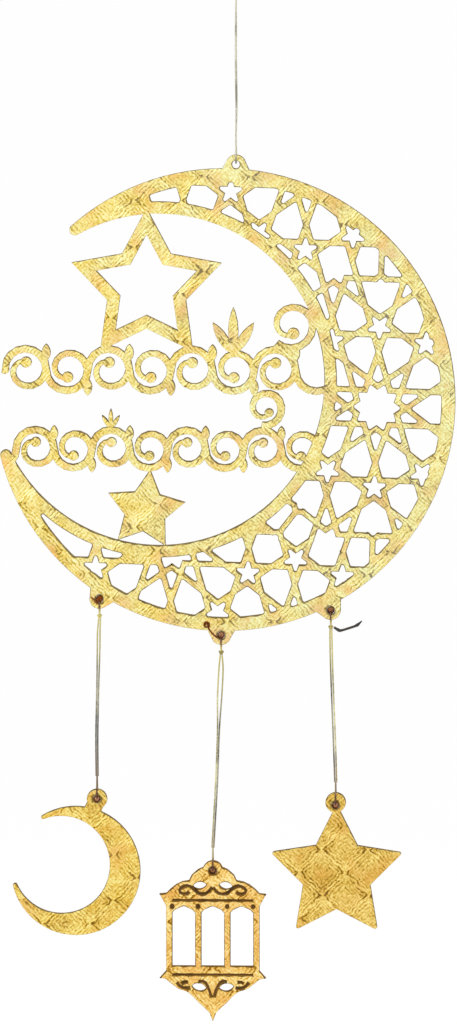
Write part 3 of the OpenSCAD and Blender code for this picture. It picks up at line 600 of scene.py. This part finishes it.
# Scorched edges. The beam has browned both faces beside each cut, most of all on edges that
# face up, where the smoke rose, low on the ornament, and round the lattice's small cells,
# where the heat stayed. Narrow strips run along the cut edges just off the foil.
# Widths on edges that face down, on edges that face up, and at least round a cell. A cell's
# outline is up to CELL_ROUND long, and a larger shape's is over SHAPE_ROUND.
SCORCH_LOW, SCORCH_UP, SCORCH_CELL = 0.1 * MM, 0.6 * MM, 0.3 * MM
CELL_ROUND, SHAPE_ROUND = 60 * MM, 120 * MM
SCORCH_SHARES = {"crescent": 1.0, "moon": 0.6, "lantern": 1.0, "star": 0.55}
SCORCH_TOP_SHARE = 0.3
SCORCH_TOP_Z, SCORCH_FULL_Z = -90 * MM, -260 * MM
SCORCH_STEP = 1 * MM
SCORCH_OFF = 0.03 * MM
WAVER_SHARE, WAVER_ACROSS, WAVER_UP = 0.33, 0.9 * MM, 1.3 * MM
# Corners that lie closer than SAME_SPOT are one. A face is flat where its normal's part along
# Y is over FLAT_FACE. A sharp corner's offset is divided by SHARPEST at least.
SAME_SPOT = 0.001 * MM
FLAT_FACE, SHARPEST = 0.9, 0.4


def cut_edges(sheet, facing):
    """The straight edges round the face of a sheet that looks to -Y or +Y (facing -1 or 1):
    their start and end in x and z, with the sheet on their left seen from -Y, the directions
    to offset their start, run and end in by one unit, and the length of the whole outline that
    each is part of. An edge is a triangle's side that no other triangle has the other way
    round. At a corner, the offset is (m + n) / (1 + m . n) for its two edges' offsets."""
    mesh = sheet.data
    spots, normals = np.empty(len(mesh.vertices) * 3), np.empty(len(mesh.polygons) * 3)
    corners = np.empty(len(mesh.loops), np.int32)
    mesh.vertices.foreach_get("co", spots)
    mesh.polygons.foreach_get("normal", normals)
    mesh.loops.foreach_get("vertex_index", corners)
    to_world = np.array(sheet.matrix_world)
    normals = normals.reshape(-1, 3) @ to_world[:3, :3].T
    spots = (spots.reshape(-1, 3) @ to_world[:3, :3].T + to_world[:3, 3])[:, [0, 2]]
    _, first, same = np.unique(np.round(spots / SAME_SPOT), axis=0, return_index=True,
                               return_inverse=True)
    triangles = same.reshape(-1)[corners].reshape(-1, 3)
    triangles = triangles[normals[:, 1] * facing > FLAT_FACE][:, ::-facing]
    a, b = triangles.ravel(), np.roll(triangles, -1, axis=1).ravel()
    sides = np.unique(a * len(first) + b)
    border = sides[~np.isin(sides, b * len(first) + a)]
    a, b = border // len(first), border % len(first)

    start, run = spots[first[a]], spots[first[b]] - spots[first[a]]
    length = np.linalg.norm(run, axis=1)
    inward = run[:, ::-1] * (-1, 1) / length[:, None]
    entering, leaving = np.zeros((2, len(first), 2))
    entering[b], leaving[a] = inward, inward
    squeeze = np.maximum(SHARPEST, 1 + (entering * leaving).sum(axis=1))
    mitre = (entering + leaving) / squeeze[:, None]

    # Each edge takes the least number on its outline, reaching twice as far both ways at every
    # step. Where an outline lacks an edge, it ends.
    number = np.arange(len(a))
    edge_from, edge_to = np.full((2, len(first)), -1)
    edge_from[a], edge_to[b] = number, number
    ahead = np.where(edge_from[b] < 0, number, edge_from[b])
    behind = np.where(edge_to[a] < 0, number, edge_to[a])
    for _ in range(math.ceil(math.log2(len(a)))):
        number = np.minimum(number, np.minimum(number[ahead], number[behind]))
        ahead, behind = ahead[ahead], behind[behind]
    return (start, start + run, mitre[a], inward, mitre[b],
            np.bincount(number, weights=length)[number])


def scorched_strips(sheet, facing, share):
    """Strips along all cut edges of one face. A strip's width grows with the upward part n of
    its edge's outward direction, from the low to the upper width as n^0.5, is less near the
    top but at least the cells' width round a cell, is a share of that on a part that is less
    scorched, and wavers along the edge by a third."""
    start, end, start_way, way, end_way, outline = cut_edges(sheet, facing)
    width = SCORCH_LOW + (SCORCH_UP - SCORCH_LOW) * np.maximum(0, -way[:, 1]) ** 0.5
    width *= np.interp(start[:, 1], (SCORCH_FULL_Z, SCORCH_TOP_Z), (1, SCORCH_TOP_SHARE))
    width = np.maximum(width, np.interp(outline, (CELL_ROUND, SHAPE_ROUND), (SCORCH_CELL, 0)))
    steps = np.ceil(np.linalg.norm(end - start, axis=1) / SCORCH_STEP).astype(int)
    edge = np.repeat(np.arange(len(steps)), steps + 1)
    step = np.arange(len(edge)) - (np.cumsum(steps + 1) - steps - 1)[edge]
    at = start[edge] + (end - start)[edge] * (step / steps[edge])[:, None]
    slant = np.where((step == 0)[:, None], start_way[edge],
                     np.where((step == steps[edge])[:, None], end_way[edge], way[edge]))
    waver = 1 + WAVER_SHARE * np.sin(at[:, 0] / WAVER_ACROSS + 2 * np.sin(at[:, 1] / WAVER_UP))
    inner = at + slant * (width[edge] * share * waver)[:, None]
    points = np.insert(np.hstack([at, inner]).reshape(-1, 2), 1,
                       facing * (PANEL_T / 2 + SCORCH_OFF), axis=1)
    i = 2 * np.flatnonzero(step)
    return points, np.column_stack([i - 2, i, i + 1, i - 1])[:, ::-facing].tolist()


# Smoke leaves a matt grey-brown line on the foil, and a browner one on the lantern's.
grey_scorch = board_material("smoked foil edge", "564422", "968450")
brown_scorch = board_material("scorched foil edge", "523408", "946c24")
for part, share in SCORCH_SHARES.items():
    body = "panel" if part == "crescent" else f"{part}_charm"
    for side, facing in (("front", -1), ("back", 1)):
        strips = scorched_strips(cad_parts[f"{part}_{side}_foil"], facing, share)
        piece = add_mesh(f"{part}_{side}_scorch", *strips,
                         brown_scorch if part == "lantern" else grey_scorch, body, smooth=False)

# Studio. White paper lies well below the ornament and a white surround lights it evenly, with
# a large soft lamp at the upper left, a weaker one at the right and one behind.
FLOOR_Z, FLOOR_HALF = -0.54, 30.0
SHADOW_SHARE = 0.2
PAPER_GREY, PAPER_GLOW = 0.9, 1.07
SURROUND_LIGHT, SURROUND_SEEN = 0.75, 1.0
# Name, place and size in metres, power in watts, and the angles that turn it in degrees.
LAMPS = (("key lamp", (-0.9, -1.3, 0.6), 0.9, 9.0, (60, 0, -35)),
         ("fill lamp", (1.1, -1.2, -0.1), 0.7, 4.0, (82, 0, 42)),
         ("back lamp", (0.4, 1.2, 0.7), 0.8, 5.0, (-62, 0, -18)))


def seen_share(tree):
    """1 where the camera sees something straight, mirrored or through another, and 0 where it
    only sends light to others."""
    seen = node(tree, "LightPath", out="Is Camera Ray")
    rays = seen.node.outputs
    for ray in (rays["Is Glossy Ray"], rays["Is Transmission Ray"]):
        seen = node(tree, "Math", {0: seen, 1: ray}, operation="MAXIMUM")
    return seen


floor_mesh = bpy.data.meshes.new("floor")
floor_mesh.from_pydata([(x * FLOOR_HALF, y * FLOOR_HALF, FLOOR_Z)
                        for x, y in ((-1, -1), (1, -1), (1, 1), (-1, 1))], [], [(0, 1, 2, 3)])
floor = bpy.data.objects.new("floor", floor_mesh)
bpy.context.scene.collection.objects.link(floor)
paper, tree = new_material("white paper")
# Where it is seen, the paper glows all but evenly, with only a share of the shadows.
seen = node(tree, "Math", {0: seen_share(tree), 1: 1 - SHADOW_SHARE}, operation="MULTIPLY")
matt = node(tree, "BsdfDiffuse", {"Color": (PAPER_GREY, PAPER_GREY, PAPER_GREY, 1)})
white = node(tree, "Emission", {"Color": (1, 1, 1, 1), "Strength": PAPER_GLOW})
node(tree, "OutputMaterial", {"Surface": node(tree, "MixShader", {0: seen, 1: matt, 2: white})})
floor_mesh.materials.append(paper)

world = bpy.data.worlds.new("surround")
bpy.context.scene.world = world
world.use_nodes = True
tree = world.node_tree
tree.nodes.clear()
strength = node(tree, "MapRange", {"Value": seen_share(tree), "To Min": SURROUND_LIGHT,
                                   "To Max": SURROUND_SEEN})
sky = node(tree, "Background", {"Color": (1, 1, 1, 1), "Strength": strength})
node(tree, "OutputWorld", {"Surface": sky})

for name, place, size, power, turn in LAMPS:
    lamp_data = bpy.data.lights.new(name, "AREA")
    lamp_data.size, lamp_data.energy = size, power
    lamp = bpy.data.objects.new(name, lamp_data)
    bpy.context.scene.collection.objects.link(lamp)
    lamp.location = place
    lamp.rotation_euler = [math.radians(a) for a in turn]

bpy.context.scene.view_settings.view_transform = "Standard"
